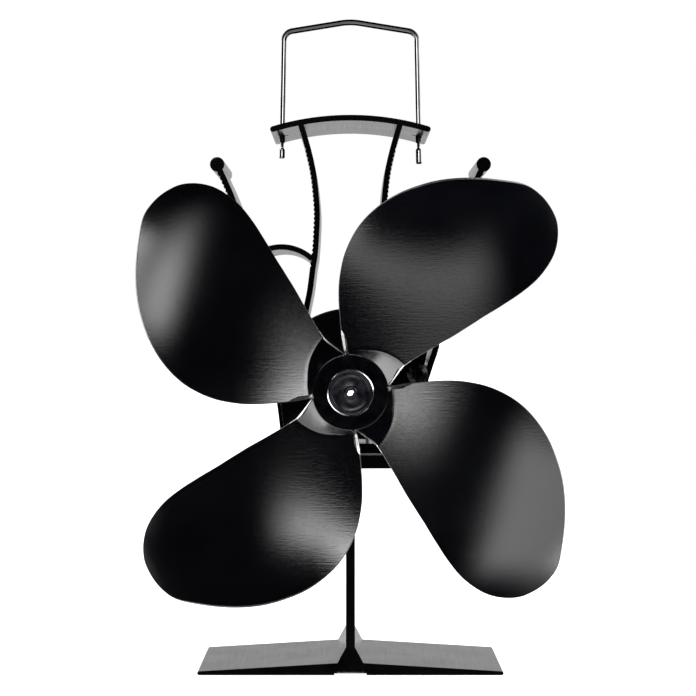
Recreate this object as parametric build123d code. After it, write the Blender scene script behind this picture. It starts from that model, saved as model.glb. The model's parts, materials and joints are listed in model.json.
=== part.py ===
from build123d import *
from math import sin, cos, tan, radians, degrees, hypot, atan2, sqrt, pi
import os

# Heat-powered stove fan: T-shaped foot, thermoelectric module clamped between
# the foot and an extruded heat sink, small motor, four-blade pressed propeller
# and a sliding wire handle.
# Millimetres.  +Z up, X across, the propeller faces -Y.
# The numbers below are laid out about the mid-depth plane of the extrusions;
# Y_SHIFT moves everything so that the origin is the centre of the footprint.

# ---------------------------------------------------------------- dimensions
FOOT_W = 100.6          # overall width of the foot
FOOT_D = 62.0           # depth of the foot extrusion
FOOT_TIP_T = 1.3        # thickness at the outer tips
FOOT_MID_T = 4.0        # thickness beside the gusset
GUSSET_X = 4.3          # half width of the gusset where it starts
GUSSET_Z = 9.25         # top of the gusset on the post
POST_T = 3.0            # post thickness
PLATE_Z0 = 67.8         # underside of the top plate of the foot
PLATE_Z1 = 72.2         # top face of that plate
PLATE_HW = 23.0         # half width of that plate
POCKET = 41.0           # square pocket for the module
POCKET_Z = 69.2         # pocket floor

STRIP_W = 10.2          # bimetal strip
STRIP_T = 0.4
STRIP_L = 56.0

TEG = 40.0              # module side
PAD_T = 0.2             # graphite pads
CERAMIC_T = 0.7         # module plates
GASKET_T = 0.5          # light gasket round the module
SINK_Z0 = PLATE_Z1 + GASKET_T        # underside of the heat sink
SINK_PLATE_T = 3.2
SINK_D = 54.0           # heat sink depth
WALL = 2.0              # fin thickness

AXIS_Z = 93.5           # propeller axis height
RING_R = 27.0           # outer radius of the arched roof over the motor
ARCH_TOP = 184.2        # top of the carrying arch
ARCH_R = 90.0
ARCH_T = 1.9
ARCH_HW = 26.7

SERR_P = 1.5            # fin serration pitch
SERR_H = 0.42           # fin serration height

BRACKET_T = 1.5
BOSS_X, BOSS_Z = 22.0, 98.9          # bracket screw ports
MOTOR_R = 16.0
MOTOR_L = 25.0
SHAFT_R = 1.0

DISC_Y = -57.5          # front face of the propeller's hub disc
SHEET_T = 1.0           # propeller sheet
DISC_R = 12.09
PROP_R = 88.65
ROOT_DEPTH = 5.5        # how far the blades' roots lie behind the disc face
HUB_R = 7.4
HUB_FRONT = -62.5
SHAFT_FRONT = -65.0

WIRE_R = 1.0            # handle wire
Y_SHIFT = (-SHAFT_FRONT - FOOT_D / 2) / 2     # centres the footprint

YF = -SINK_D / 2        # heat sink front face
YB = SINK_D / 2

os.makedirs("parts", exist_ok=True)
PARTS = {}


def keep(name, shape):
    """Store one node, moved into the final frame."""
    solids = list(shape.solids()) if hasattr(shape, "solids") else [shape]
    moved = [s.moved(Location((0, Y_SHIFT, 0))) for s in solids]
    PARTS[name] = moved[0] if len(moved) == 1 else Compound(children=moved)


def xz_face(points):
    """Closed polygon in the XZ plane as a face (y = 0)."""
    pts = [Vector(x, 0, z) for x, z in points]
    return Face(Wire.make_polygon(pts, close=True))


def prism(points, y0, y1):
    """Polygon in XZ swept from y0 to y1."""
    f = xz_face(points).moved(Location((0, y0, 0)))
    return Solid.extrude(f, Vector(0, y1 - y0, 0))


def cyl_y(r, y0, y1, x=0.0, z=0.0):
    """Cylinder along Y."""
    return Solid.make_cylinder(r, y1 - y0, Plane(origin=(x, y0, z), z_dir=(0, 1, 0)))


def cyl_z(r, z0, z1, x=0.0, y=0.0):
    return Solid.make_cylinder(r, z1 - z0, Plane(origin=(x, y, z0), z_dir=(0, 0, 1)))


def cone_y(r0, r1, y0, y1, x=0.0, z=0.0):
    return Solid.make_cone(r0, r1, y1 - y0, Plane(origin=(x, y0, z), z_dir=(0, 1, 0)))


def cone_z(r0, r1, z0, z1, x=0.0, y=0.0):
    return Solid.make_cone(r0, r1, z1 - z0, Plane(origin=(x, y, z0), z_dir=(0, 0, 1)))


def block(x0, x1, y0, y1, z0, z1):
    return Solid.make_box(x1 - x0, y1 - y0, z1 - z0, Plane(origin=(x0, y0, z0)))


def mirror_x(points):
    return [(-x, z) for x, z in reversed(points)]


# ------------------------------------------------------------------ the foot
def foot_profile():
    hw = FOOT_W / 2
    right = [
        (hw - 0.5, 0.0), (hw, 0.35), (hw, 0.85), (hw - 0.45, FOOT_TIP_T),
        (GUSSET_X, FOOT_MID_T), (POST_T / 2, GUSSET_Z),
        (POST_T / 2, PLATE_Z0 - 2.2), (POST_T / 2 + 0.7, PLATE_Z0 - 0.7),
        (POST_T / 2 + 2.2, PLATE_Z0), (PLATE_HW - 0.4, PLATE_Z0),
        (PLATE_HW, PLATE_Z0 + 0.4), (PLATE_HW, PLATE_Z1 - 0.4),
        (PLATE_HW - 0.4, PLATE_Z1),
    ]
    return right + mirror_x(right)


SCREW_X, SCREW_Y = 18.2, 23.7        # clamp screw positions
CLAMP_R = 1.5

base = prism(foot_profile(), -FOOT_D / 2, FOOT_D / 2)
# stepped channel along the middle of the underside, for the bimetal strip
base -= block(-5.3, 5.3, -FOOT_D, FOOT_D, -1, 0.62)
base -= block(-4.3, 4.3, -FOOT_D, FOOT_D, -1, 1.25)
# pocket for the module, with two lead grooves out of its back wall
base -= block(-POCKET / 2, POCKET / 2, -POCKET / 2, POCKET / 2, POCKET_Z, 80)
LEAD_X = 6.0
for s in (-1, 1):
    base -= block(s * LEAD_X - 0.8, s * LEAD_X + 0.8, 19, FOOT_D, PLATE_Z1 - 2.0, 80)
for sx in (-1, 1):
    for sy in (-1, 1):
        base -= cyl_z(2.6, 60, 80, sx * SCREW_X, sy * SCREW_Y)
# rivet hole for the strip
RIVET_Y = 22.0
base -= cyl_z(1.2, -1, 3.2, 0, RIVET_Y)
keep("base", base)

strip = block(-STRIP_W / 2, STRIP_W / 2, -STRIP_L / 2, STRIP_L / 2, 0.15, 0.15 + STRIP_T)
strip -= cone_z(1.75, 1.2, 0.15, 0.15 + STRIP_T, 0, RIVET_Y)
keep("bimetal_strip", strip)
rivet = cone_z(1.75, 1.2, 0.15, 0.15 + STRIP_T, 0, RIVET_Y)
rivet += cyl_z(1.2, 0.15 + STRIP_T, 3.2, 0, RIVET_Y)
rivet += cyl_z(2.2, 0.15 + STRIP_T, 1.25, 0, RIVET_Y) 
keep("bimetal_rivet", rivet)

# -------------------------------------------------------- thermoelectric pack
z = POCKET_Z
keep("hot_side_pad", block(-TEG / 2, TEG / 2, -TEG / 2, TEG / 2, z, z + PAD_T))
z += PAD_T
keep("module_hot_plate", block(-TEG / 2, TEG / 2, -TEG / 2, TEG / 2, z, z + CERAMIC_T))
z += CERAMIC_T
LEG_Z0 = z
LEG_Z1 = SINK_Z0 - PAD_T - CERAMIC_T
legs = []
LEG_N, LEG_P, LEG_W = 8, 4.7, 2.6
for i in range(LEG_N):
    for j in range(LEG_N):
        cx = (i - (LEG_N - 1) / 2) * LEG_P
        cy = (j - (LEG_N - 1) / 2) * LEG_P
        legs.append(block(cx - LEG_W / 2, cx + LEG_W / 2, cy - LEG_W / 2, cy + LEG_W / 2, LEG_Z0, LEG_Z1))
keep("module_legs", Compound(children=legs))
keep("module_cold_plate", block(-TEG / 2, TEG / 2, -TEG / 2 , TEG / 2, LEG_Z1, LEG_Z1 + CERAMIC_T))
keep("cold_side_pad", block(-TEG / 2, TEG / 2, -TEG / 2, TEG / 2, LEG_Z1 + CERAMIC_T, SINK_Z0))

gasket = block(-PLATE_HW + 0.5, PLATE_HW - 0.5, YF + 0.3, YB - 0.3, PLATE_Z1, SINK_Z0)
gasket -= block(-POCKET / 2, POCKET / 2, -POCKET / 2, POCKET / 2, 70, 80)
for sx in (-1, 1):
    for sy in (-1, 1):
        gasket -= cyl_z(2.6, 70, 80, sx * SCREW_X, sy * SCREW_Y)
keep("module_gasket", gasket)

# --------------------------------------------------------------- heat sink
def spline_points(ctrl, n):
    """Catmull-Rom points through ctrl, about n per span."""
    out = []
    c = [ctrl[0]] + list(ctrl) + [ctrl[-1]]
    for i in range(1, len(c) - 2):
        p0, p1, p2, p3 = c[i - 1], c[i], c[i + 1], c[i + 2]
        for k in range(n):
            t = k / n
            out.append(tuple(
                0.5 * ((2 * p1[a]) + (-p0[a] + p2[a]) * t
                       + (2 * p0[a] - 5 * p1[a] + 4 * p2[a] - p3[a]) * t * t
                       + (-p0[a] + 3 * p1[a] - 3 * p2[a] + p3[a]) * t ** 3)
                for a in (0, 1)))
    out.append(tuple(ctrl[-1]))
    return out


def walk(path, step):
    """Points every step along a polyline, with the running length."""
    out = [(path[0], 0.0)]
    run, carry = 0.0, step
    for a, b in zip(path, path[1:]):
        d = hypot(b[0] - a[0], b[1] - a[1])
        pos = 0.0
        while d - pos >= carry:
            pos += carry
            t = pos / d
            run += carry
            out.append(((a[0] + (b[0] - a[0]) * t, a[1] + (b[1] - a[1]) * t), run))
            carry = step
        carry -= d - pos
        run_left = d - pos
        run += 0
    return [p for p, _ in out]


def fin(ctrl, thick, serr=None, side=1):
    """Fin outline about a centre line, right-hand copy.
    serr is (z_low, z_high): teeth on the outer side between those heights."""
    path = walk(spline_points(ctrl, 12), SERR_P / 2)
    left, right = [], []
    for i, p in enumerate(path):
        a = path[max(i - 1, 0)]
        b = path[min(i + 1, len(path) - 1)]
        tx, tz = b[0] - a[0], b[1] - a[1]
        m = hypot(tx, tz)
        nx, nz = tz / m, -tx / m          # points to +x for a rising path
        off = thick / 2
        o2 = off
        if serr and serr[0] <= p[1] <= serr[1]:
            o2 = off + (SERR_H / 2 if i % 2 else -SERR_H / 2)
        right.append((p[0] + nx * o2, p[1] + nz * o2))
        left.append((p[0] - nx * off, p[1] - nz * off))
    return right + left[::-1]


INNER = [(15.6, 115.2), (14.3, 121.6), (13.3, 126.7), (12.4, 133.7), (11.7, 138.3),
         (11.2, 145.3), (11.0, 152.2), (11.5, 159.2), (12.4, 166.1), (14.0, 173.1),
         (16.2, 180.6), (16.4, 181.3)]
OUTER = [(21.5, 74.0), (21.9, 78.0), (22.3, 81.6), (23.2, 88.7), (24.4, 95.5), (26.4, 102.0),
         (28.4, 108.5), (29.5, 118.0), (30.8, 128.0), (32.9, 137.1), (35.8, 147.0),
         (38.7, 155.9), (41.2, 161.9), (43.6, 167.0)]

parts2d = []
parts2d.append(xz_face([(-PLATE_HW + 0.3, SINK_Z0), (PLATE_HW - 0.3, SINK_Z0),
                        (PLATE_HW - 0.3, SINK_Z0 + SINK_PLATE_T),
                        (-PLATE_HW + 0.3, SINK_Z0 + SINK_PLATE_T)]))
right_out = fin(OUTER, WALL, (109.0, 165.0))
right_in = fin(INNER, 1.9, (134.0, 173.5))
parts2d.append(xz_face(right_out))
parts2d.append(xz_face(mirror_x(right_out)))
parts2d.append(xz_face(right_in))
parts2d.append(xz_face(mirror_x(right_in)))


def band(cx, cz, r_out, r_in, a0, a1, n=48):
    """Arc band in XZ from angle a0 to a1 (degrees, anticlockwise seen from the front)."""
    o = [(cx + r_out * cos(radians(a0 + (a1 - a0) * i / n)), cz + r_out * sin(radians(a0 + (a1 - a0) * i / n))) for i in range(n + 1)]
    q = [(cx + r_in * cos(radians(a0 + (a1 - a0) * i / n)), cz + r_in * sin(radians(a0 + (a1 - a0) * i / n))) for i in range(n + 1)]
    return xz_face(o + q[::-1])


# arched roof over the motor
parts2d.append(band(0, AXIS_Z, RING_R, RING_R - WALL, 22, 158, 60))
# carrying arch with rounded ends
ARCH_C = ARCH_TOP - ARCH_R
ang = degrees(atan2(ARCH_HW - 0.9, sqrt(ARCH_R ** 2 - (ARCH_HW - 0.9) ** 2)))
parts2d.append(band(0, ARCH_C, ARCH_R, ARCH_R - ARCH_T, 90 - ang, 90 + ang, 40))
sketch_arch_end = []
mid_r = ARCH_R - ARCH_T / 2
for s in (-1, 1):
    sketch_arch_end.append((s * mid_r * sin(radians(ang)), ARCH_C + mid_r * cos(radians(ang))))
# small linking arches between outer and inner fins
LINK_R = 15.6
LINK_APEX = (22.7, 141.6)
for s in (-1, 1):
    parts2d.append(band(s * LINK_APEX[0], LINK_APEX[1] - LINK_R, LINK_R, LINK_R - 1.8, 90 - 43, 90 + 43, 24))

lumps = [Solid.extrude(f.moved(Location((0, YF, 0))), Vector(0, SINK_D, 0)) for f in parts2d]
for ex, ez in sketch_arch_end:
    lumps.append(cyl_y(ARCH_T / 2, YF, YB, ex, ez))
for s in (-1, 1):
    lumps.append(cyl_y(2.4, YF, YB, s * 43.9, 167.9))         # beaded fin tips
    lumps.append(cyl_y(3.7, YF, YB, s * BOSS_X, BOSS_Z))       # screw ports
sink = lumps[0].fuse(*lumps[1:])
for s in (-1, 1):
    sink -= cyl_y(1.45, YF - 1, YF + 12, s * BOSS_X, BOSS_Z)
# clamp screw holes through the bottom plate
for sx in (-1, 1):
    for sy in (-1, 1):
        sink -= cyl_z(CLAMP_R, 70, 80, sx * SCREW_X, sy * SCREW_Y)
# slots for the handle legs, through the arch near its ends
SLOT_X0, SLOT_X1, SLOT_R = 20.9, 24.5, 1.15
for s in (-1, 1):
    slot = block(min(s * (SLOT_X0 + SLOT_R), s * (SLOT_X1 - SLOT_R)), max(s * (SLOT_X0 + SLOT_R), s * (SLOT_X1 - SLOT_R)), -SLOT_R, SLOT_R, 175, 190)
    slot += cyl_z(SLOT_R, 175, 190, s * (SLOT_X0 + SLOT_R), 0)
    slot += cyl_z(SLOT_R, 175, 190, s * (SLOT_X1 - SLOT_R), 0)
    sink -= slot
keep("heat_sink", sink)

# clamp hardware: four screws from below, insulating bushes, spring washers
screws, bushes, springs = [], [], []
for sx in (-1, 1):
    for sy in (-1, 1):
        x, y = sx * SCREW_X, sy * SCREW_Y
        zb = PLATE_Z0
        b = cyl_z(3.6, zb - 0.8, zb, x, y) + cyl_z(2.6, zb, PLATE_Z1, x, y)
        b -= cyl_z(1.55, zb - 2, 80, x, y)
        bushes.append(b)
        springs.append(cyl_z(3.1, zb - 1.5, zb - 0.8, x, y) - cyl_z(1.55, zb - 3, 80, x, y))
        sc = cyl_z(2.8, zb - 3.7, zb - 1.5, x, y) + cyl_z(CLAMP_R, zb - 1.5, 77.0, x, y)
        sc -= extrude(Plane(origin=(x, y, zb - 3.7)) * RegularPolygon(1.35, 6), 1.3)
        screws.append(sc)
keep("clamp_screws", Compound(children=[s.solid() for s in screws]))
keep("clamp_bushes", Compound(children=[s.solid() for s in bushes]))
keep("clamp_spring_washers", Compound(children=[s.solid() for s in springs]))

# ------------------------------------------------------------------- bracket
def bracket_outline():
    pts = []
    n = 40
    # roof arc, from the right wall over the top to the left wall
    a_end = 39.0
    for i in range(n + 1):
        a = radians(a_end + (180 - 2 * a_end) * i / n)
        pts.append(((RING_R - 0.3) * cos(a), AXIS_Z + (RING_R - 0.3) * sin(a)))
    left = [(-26.1, 109.9), (-25.2, 105.8), (-24.3, 101.5), (-23.9, 95.5), (-22.9, 88.7), (-22.0, 81.6), (-21.3, 78.4), (-20.3, 77.4)]
    pts += left
    pts += [(-x, z) for x, z in reversed(left)]
    return pts


brk = prism(bracket_outline(), YF - BRACKET_T, YF)
brk -= cyl_y(5.1, YF - 5, YF + 1, 0, AXIS_Z)
MS_R = 12.0                                  # motor screw circle
for s in (-1, 1):
    brk -= cyl_y(1.9, YF - 5, YF + 1, s * BOSS_X, BOSS_Z)
    brk -= cyl_y(1.35, YF - 5, YF + 1, s * MS_R, AXIS_Z)
keep("motor_bracket", brk)


def pan_screw(x, z, y_face, r_head, h_head, r_shank, l_shank):
    """Pan-head cross-recess screw driven along +Y, head on the -Y side."""
    head = cyl_y(r_head, y_face - h_head * 0.45, y_face, x, z)
    head += cone_y(r_head * 0.55, r_head, y_face - h_head, y_face - h_head * 0.45, x, z)
    s = head + cyl_y(r_shank, y_face, y_face + l_shank, x, z)
    for w, h in ((r_head * 0.95, r_head * 0.24), (r_head * 0.24, r_head * 0.95)):
        s -= block(x - w / 2, x + w / 2, y_face - h_head - 0.1, y_face - h_head * 0.38, z - h / 2, z + h / 2)
    return s


keep("bracket_screws", Compound(children=[
    pan_screw(s * BOSS_X, BOSS_Z, YF - BRACKET_T, 3.4, 2.1, 1.45, 8.0).solid() for s in (-1, 1)]))
keep("motor_screws", Compound(children=[
    pan_screw(s * MS_R, AXIS_Z, YF - BRACKET_T, 2.2, 1.5, 1.25, 3.0).solid() for s in (-1, 1)]))

# --------------------------------------------------------------------- motor
M0 = YF                       # motor front face, against the bracket
M1 = YF + MOTOR_L             # open end of the can
can = cyl_y(MOTOR_R, M0, M1, 0, AXIS_Z) - cyl_y(MOTOR_R - 0.9, M0 + 1.2, M1 + 1, 0, AXIS_Z)
can += cyl_y(5.0, M0 - 3.0, M0 + 0.6, 0, AXIS_Z)
can -= cyl_y(3.0, M0 - 4.0, M0 + 3, 0, AXIS_Z)
for s in (-1, 1):
    can -= cyl_y(1.25, M0 - 1, M0 + 3, s * MS_R, AXIS_Z)
keep("motor_can", can)

BORE = SHAFT_R + 0.03
keep("front_bearing", cyl_y(3.0, M0 - 2.6, M0 + 1.6, 0, AXIS_Z) - cyl_y(BORE, M0 - 5, M0 + 5, 0, AXIS_Z))

mags = []
for s in (-1, 1):
    f = []
    n = 24
    a0, a1 = radians(-62), radians(62)
    for i in range(n + 1):
        a = a0 + (a1 - a0) * i / n
        f.append((s * (MOTOR_R - 0.9) * cos(a), AXIS_Z + (MOTOR_R - 0.9) * sin(a)))
    for i in range(n + 1):
        a = a1 - (a1 - a0) * i / n
        f.append((s * 12.4 * cos(a), AXIS_Z + 12.4 * sin(a)))
    mags.append(prism(f, M0 + 4.5, M0 + 19.5))
keep("motor_magnets", Compound(children=mags))

# rear cap with the brush terminals passing through it
term = []
for s in (-1, 1):
    def bx(xa, xb, ya, yb, za, zb):
        x0, x1 = sorted((s * xa, s * xb))
        return block(x0, x1, ya, yb, AXIS_Z + za, AXIS_Z + zb)
    t = bx(3.32, 3.66, M1 - 5.2, M1 + 1.0, -1.2, 1.2)
    t += bx(3.32, 9.3, M1 + 0.7, M1 + 1.0, -1.2, 1.2)
    t += bx(8.8, 9.3, M1 + 0.7, M1 + 7.5, -1.2, 1.2)
    term.append(t.solid())
cap = cyl_y(MOTOR_R, M1, M1 + 3.0, 0, AXIS_Z) + cyl_y(MOTOR_R - 0.9, M1 - 2.0, M1, 0, AXIS_Z)
cap -= cyl_y(MOTOR_R - 2.4, M1 - 3.0, M1 - 0.2, 0, AXIS_Z)
cap += cyl_y(5.0, M1 + 3.0, M1 + 5.2, 0, AXIS_Z)
cap += cyl_y(3.0, M1 - 0.2, M1 + 1.0, 0, AXIS_Z)
cap -= cyl_y(2.6, M1 - 3.0, M1 + 4.4, 0, AXIS_Z)
for t in term:
    cap -= t
keep("motor_end_cap", cap)
keep("brush_terminals", Compound(children=term))
keep("rear_bearing", cyl_y(2.6, M1 + 0.4, M1 + 4.4, 0, AXIS_Z) - cyl_y(BORE, M1 - 2, M1 + 8, 0, AXIS_Z))

# ---------------------------------------------------------------------- rotor
shaft = cyl_y(SHAFT_R, SHAFT_FRONT + 0.25, M1 + 3.9, 0, AXIS_Z)
shaft += cone_y(SHAFT_R - 0.25, SHAFT_R, SHAFT_FRONT, SHAFT_FRONT + 0.25, 0, AXIS_Z)
keep("motor_shaft", shaft)

C0, C1 = M0 + 6.5, M0 + 17.5          # armature stack
core = cyl_y(3.8, C0, C1, 0, AXIS_Z)
coils = []
for k in range(3):
    a = 90 + 120 * k
    arm = block(3.0, 10.4, C0, C1, -2.0, 2.0)
    shoe_pts = []
    n = 16
    for i in range(n + 1):
        t = radians(-50 + 100 * i / n)
        shoe_pts.append((11.9 * cos(t), 11.9 * sin(t)))
    for i in range(n + 1):
        t = radians(50 - 100 * i / n)
        shoe_pts.append((9.9 * cos(t), 9.9 * sin(t)))
    shoe = prism(shoe_pts, C0, C1)
    loc = Location((0, 0, AXIS_Z)) * Location((0, 0, 0), (0, -a, 0))
    core += (arm + shoe).moved(loc)
    coil = block(4.6, 8.8, C0 - 1.7, C1 + 1.7, -3.6, 3.6)
    coil -= block(4.0, 9.9, C0, C1, -2.0, 2.0)
    coil = coil.moved(loc)
    coils.append(coil)
core -= cyl_y(SHAFT_R, C0 - 1, C1 + 1, 0, AXIS_Z)
keep("armature_core", core)
coil_solids = []
for c in coils:
    c = c - cyl_y(3.8, C0, C1, 0, AXIS_Z)
    coil_solids.append(c.solid())
keep("armature_windings", Compound(children=coil_solids))

K0, K1 = M1 - 5.6, M1 - 0.6
keep("commutator_sleeve", cyl_y(2.3, K0 - 0.6, K1, 0, AXIS_Z) - cyl_y(SHAFT_R, K0 - 2, K1 + 1, 0, AXIS_Z))
seg = []
ring = cyl_y(3.22, K0, K1 - 0.3, 0, AXIS_Z) - cyl_y(2.3, K0 - 1, K1, 0, AXIS_Z)
for k in range(3):
    a0, a1 = radians(120 * k + 5), radians(120 * k + 115)
    wedge = [(0.0, AXIS_Z)] + [(6 * cos(a0 + (a1 - a0) * i / 8), AXIS_Z + 6 * sin(a0 + (a1 - a0) * i / 8)) for i in range(9)]
    seg.append((ring & prism(wedge, K0 - 1, K1 + 1)).solid())
keep("commutator_segments", Compound(children=seg))
keep("thrust_washers", Compound(children=[
    (cyl_y(2.4, M0 + 1.75, M0 + 2.35, 0, AXIS_Z) - cyl_y(SHAFT_R, M0, M0 + 4, 0, AXIS_Z)).solid(),
    (cyl_y(2.2, M1 - 0.6, M1 + 0.2, 0, AXIS_Z) - cyl_y(SHAFT_R, M1 - 2, M1 + 4, 0, AXIS_Z)).solid()]))

# hub: collar in front of the sheet, spigot through it, long boss behind
SCREW_AT = DISC_Y + 11.5
hub = cyl_y(HUB_R, HUB_FRONT + 0.5, DISC_Y, 0, AXIS_Z)
hub += cone_y(HUB_R - 0.5, HUB_R, HUB_FRONT, HUB_FRONT + 0.5, 0, AXIS_Z)
hub += cyl_y(4.2, DISC_Y, DISC_Y + 15.0, 0, AXIS_Z)
hub -= cone_y(6.4, 5.4, HUB_FRONT - 0.01, HUB_FRONT + 0.9, 0, AXIS_Z)
hub += cyl_y(1.9, HUB_FRONT + 0.1, HUB_FRONT + 1.2, 0, AXIS_Z)
hub -= cyl_y(SHAFT_R, -70, -30, 0, AXIS_Z)
hub -= cyl_z(1.25, AXIS_Z + 0.5, AXIS_Z + 6, 0, SCREW_AT)
keep("propeller_hub", hub)
setscrew = cyl_z(1.25, AXIS_Z + SHAFT_R, AXIS_Z + 4.0, 0, SCREW_AT)
setscrew -= extrude(Plane(origin=(0, SCREW_AT, AXIS_Z + 2.9)) * RegularPolygon(0.75, 6), 1.3)
keep("hub_set_screw", setscrew)
keep("hub_retaining_ring", cyl_y(7.2, DISC_Y + SHEET_T, DISC_Y + SHEET_T + 1.2, 0, AXIS_Z) - cyl_y(4.2, -70, -30, 0, AXIS_Z))

# ------------------------------------------------------------------ propeller
# blade outline in polar form about the axis: radius, clockwise edge, anticlockwise edge
OUTLINE = [
    (19.42, 26.1, 98.61), (22.51, 27.19, 98.17), (25.8, 27.67, 97.73), (28.99, 27.96, 97.28),
    (32.28, 28.15, 96.64), (35.56, 28.25, 95.78), (38.75, 28.39, 94.59), (42.04, 28.73, 93.34),
    (45.22, 28.92, 91.74), (48.51, 29.21, 89.85), (51.8, 29.31, 87.76), (55.09, 29.38, 85.28),
    (58.27, 29.54, 82.5), (61.46, 29.66, 79.48), (64.75, 29.95, 76.03), (67.93, 30.29, 72.29),
    (71.33, 30.87, 68.37), (74.51, 31.69, 64.45), (77.79, 32.74, 60.38), (80.99, 34.1, 56.45),
    (84.17, 36.15, 52.82), (86.47, 38.27, 50.37), (87.85, 40.38, 48.2),
]
TIP = (PROP_R, 44.3)
BLADE_AXIS = 52.0


def crease_r(t):
    """Radius of the bend between hub wall and blade at angle t (degrees)."""
    k = [(0, 19.4), (26.1, 19.4), (41, 17.45), (55, 15.95), (62, 15.2), (72, 14.15), (90, 13.2), (98, 13.15), (125, 13.15)]
    for (a, ra), (b, rb) in zip(k, k[1:]):
        if t <= b:
            return ra + (rb - ra) * max(0.0, (t - a) / (b - a))
    return k[-1][1]


def blade_depth(r, t):
    """Distance behind the hub disc face of the blade surface: twist, crown and a slight sweep."""
    a = radians(t - BLADE_AXIS)
    u, v = r * cos(a), r * sin(a)
    q, w = (u - 12.0) / 76.0, v / 30.0
    slope = 0.2407 + q * (-0.1077 + q * (0.6503 + q * 0.1869))
    crown = 2.2443 + q * (-1.9993 + q * 1.2667)
    sweep = 76.0 * q * (-0.0684 + q * (0.11435 + q * (-0.00613 - q * 0.027975)))
    return ROOT_DEPTH - slope * v - crown * (1 - w * w) + 0.0799 * w ** 3 - sweep


def polar(r, t, y=0.0):
    return Vector(r * cos(radians(t)), y, r * sin(radians(t)))


# the same outline in blade coordinates: u along the blade axis, v across it
def uv(r, t):
    a = radians(t - BLADE_AXIS)
    return r * cos(a), r * sin(a)


low_edge = [uv(13.7, 5.2)] + [uv(r, s) for r, s, e in OUTLINE] + [uv(*TIP)]
high_edge = [uv(13.1, 98.0)] + [uv(r, e) for r, s, e in OUTLINE] + [uv(*TIP)]


def edge_v(edge, u):
    """v where an edge crosses a given u."""
    for (ua, va), (ub, vb) in zip(edge, edge[1:]):
        if min(ua, ub) <= u <= max(ua, ub):
            return va + (vb - va) * (u - ua) / (ub - ua)
    return edge[0][1] if u < edge[0][0] else edge[-1][1]


def blade_point(u, v, back=0.0):
    """Point of the blade in the hub frame, before it is turned to its quadrant."""
    r, t = hypot(u, v), BLADE_AXIS + degrees(atan2(v, u))
    p = polar(r, t, blade_depth(r, t))
    return Vector(p.X, p.Y + back, p.Z)


sections = []
for u in (11.6, 14, 17, 20, 24, 29, 35, 42, 49, 56, 62, 68, 73, 77.5, 81.4, 84.2, 86.0, 87.2, 87.74):
    v0, v1 = edge_v(low_edge, u), edge_v(high_edge, u)
    front = [blade_point(u, v0 + (v1 - v0) * i / 6) for i in range(7)]
    back = [Vector(p.X, p.Y + SHEET_T, p.Z) for p in reversed(front)]
    sections.append(Wire([Edge.make_spline(front), Edge.make_line(front[-1], back[0]),
                          Edge.make_spline(back), Edge.make_line(back[-1], front[0])]))
blade1 = Solid.make_loft(sections, True)
print("blade", round(blade1.volume, 1))

# the blade proper starts at the bend; inside it the sheet turns forward to the disc's rim
inner = [polar(crease_r(t) - 0.5, t) for t in (-60, -20, 5, 15, 26.1, 33, 41, 55, 62, 72, 80, 90, 98, 110, 140, 200, 260)]
blade1 = blade1 - Solid.extrude(Face(Wire.make_polygon([Vector(p.X, -30, p.Z) for p in inner], close=True)), Vector(0, 70, 0))
blade1 = blade1.solid()

RIM_A0, RIM_A1 = 5.2, 94.5           # part of the rim that one blade's wall covers
sections = []
for i in range(11):
    q = i / 10
    t = 26.1 + (98.0 - 26.1) * q
    rim = polar(DISC_R - 0.01, RIM_A0 + (RIM_A1 - RIM_A0) * q)
    rc = crease_r(t)
    c = polar(rc, t, blade_depth(rc, t))
    run = (c - rim).normalized()
    inward = (Vector(0, 1, 0) - run * run.Y).normalized() * SHEET_T
    sections.append(Wire.make_polygon([rim, c, c + inward, rim + inward], close=True))
wall1 = Solid.make_loft(sections, True)

prop = cyl_y(DISC_R, 0, SHEET_T, 0, 0)
for k in range(4):
    turn = Location((0, 0, 0), (0, -90 * k, 0))
    prop = prop + wall1.moved(turn) + blade1.moved(turn)
prop = prop - cyl_y(4.2, -5, 5, 0, 0)
prop = prop.moved(Location((0, DISC_Y, AXIS_Z)))
print("prop solids", len(prop.solids()), [round(s.volume, 1) for s in prop.solids()])
keep("propeller", prop)

# --------------------------------------------------------------------- handle
LEG_X_LOW, LEG_X_TOP = 23.35, 22.5
HZ_LEFT, HZ_RIGHT = 171.7, 169.8
TOP_Z = 214.6
APEX_Z = 218.25


def leg_x(zz):
    return LEG_X_LOW + (LEG_X_TOP - LEG_X_LOW) * (zz - 170.0) / (TOP_Z - 170.0)


pts = [(-leg_x(HZ_LEFT), 0, HZ_LEFT), (-LEG_X_TOP, 0, TOP_Z), (0, 0, APEX_Z),
       (LEG_X_TOP, 0, TOP_Z), (leg_x(HZ_RIGHT), 0, HZ_RIGHT)]
path = FilletPolyline(*pts, radius=[3.2, 20.0, 3.2])
start = path @ 0
tan0 = path % 0
wire = sweep(Plane(origin=start, z_dir=tan0) * Circle(WIRE_R), path=path)
NECK_Z = 176.0
for s in (-1, 1):
    nx = s * leg_x(NECK_Z)
    wire -= block(nx - 2, nx - 0.55, -2, 2, NECK_Z - 1.1, NECK_Z + 1.1)
    wire -= block(nx + 0.55, nx + 2, -2, 2, NECK_Z - 1.1, NECK_Z + 1.1)
    flare = Solid.make_cylinder(1.65, 1.1, Plane(origin=(nx - 0.55, 0, NECK_Z), z_dir=(1, 0, 0)))
    flare = flare & block(nx - 1, nx + 1, -1.65, 1.65, NECK_Z - 1.1, NECK_Z + 1.1)
    wire += flare
keep("handle", wire)

# ------------------------------------------------------------------ leads
LEAD_R = 0.7
TAB_Y = M1 + 6.6


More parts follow.
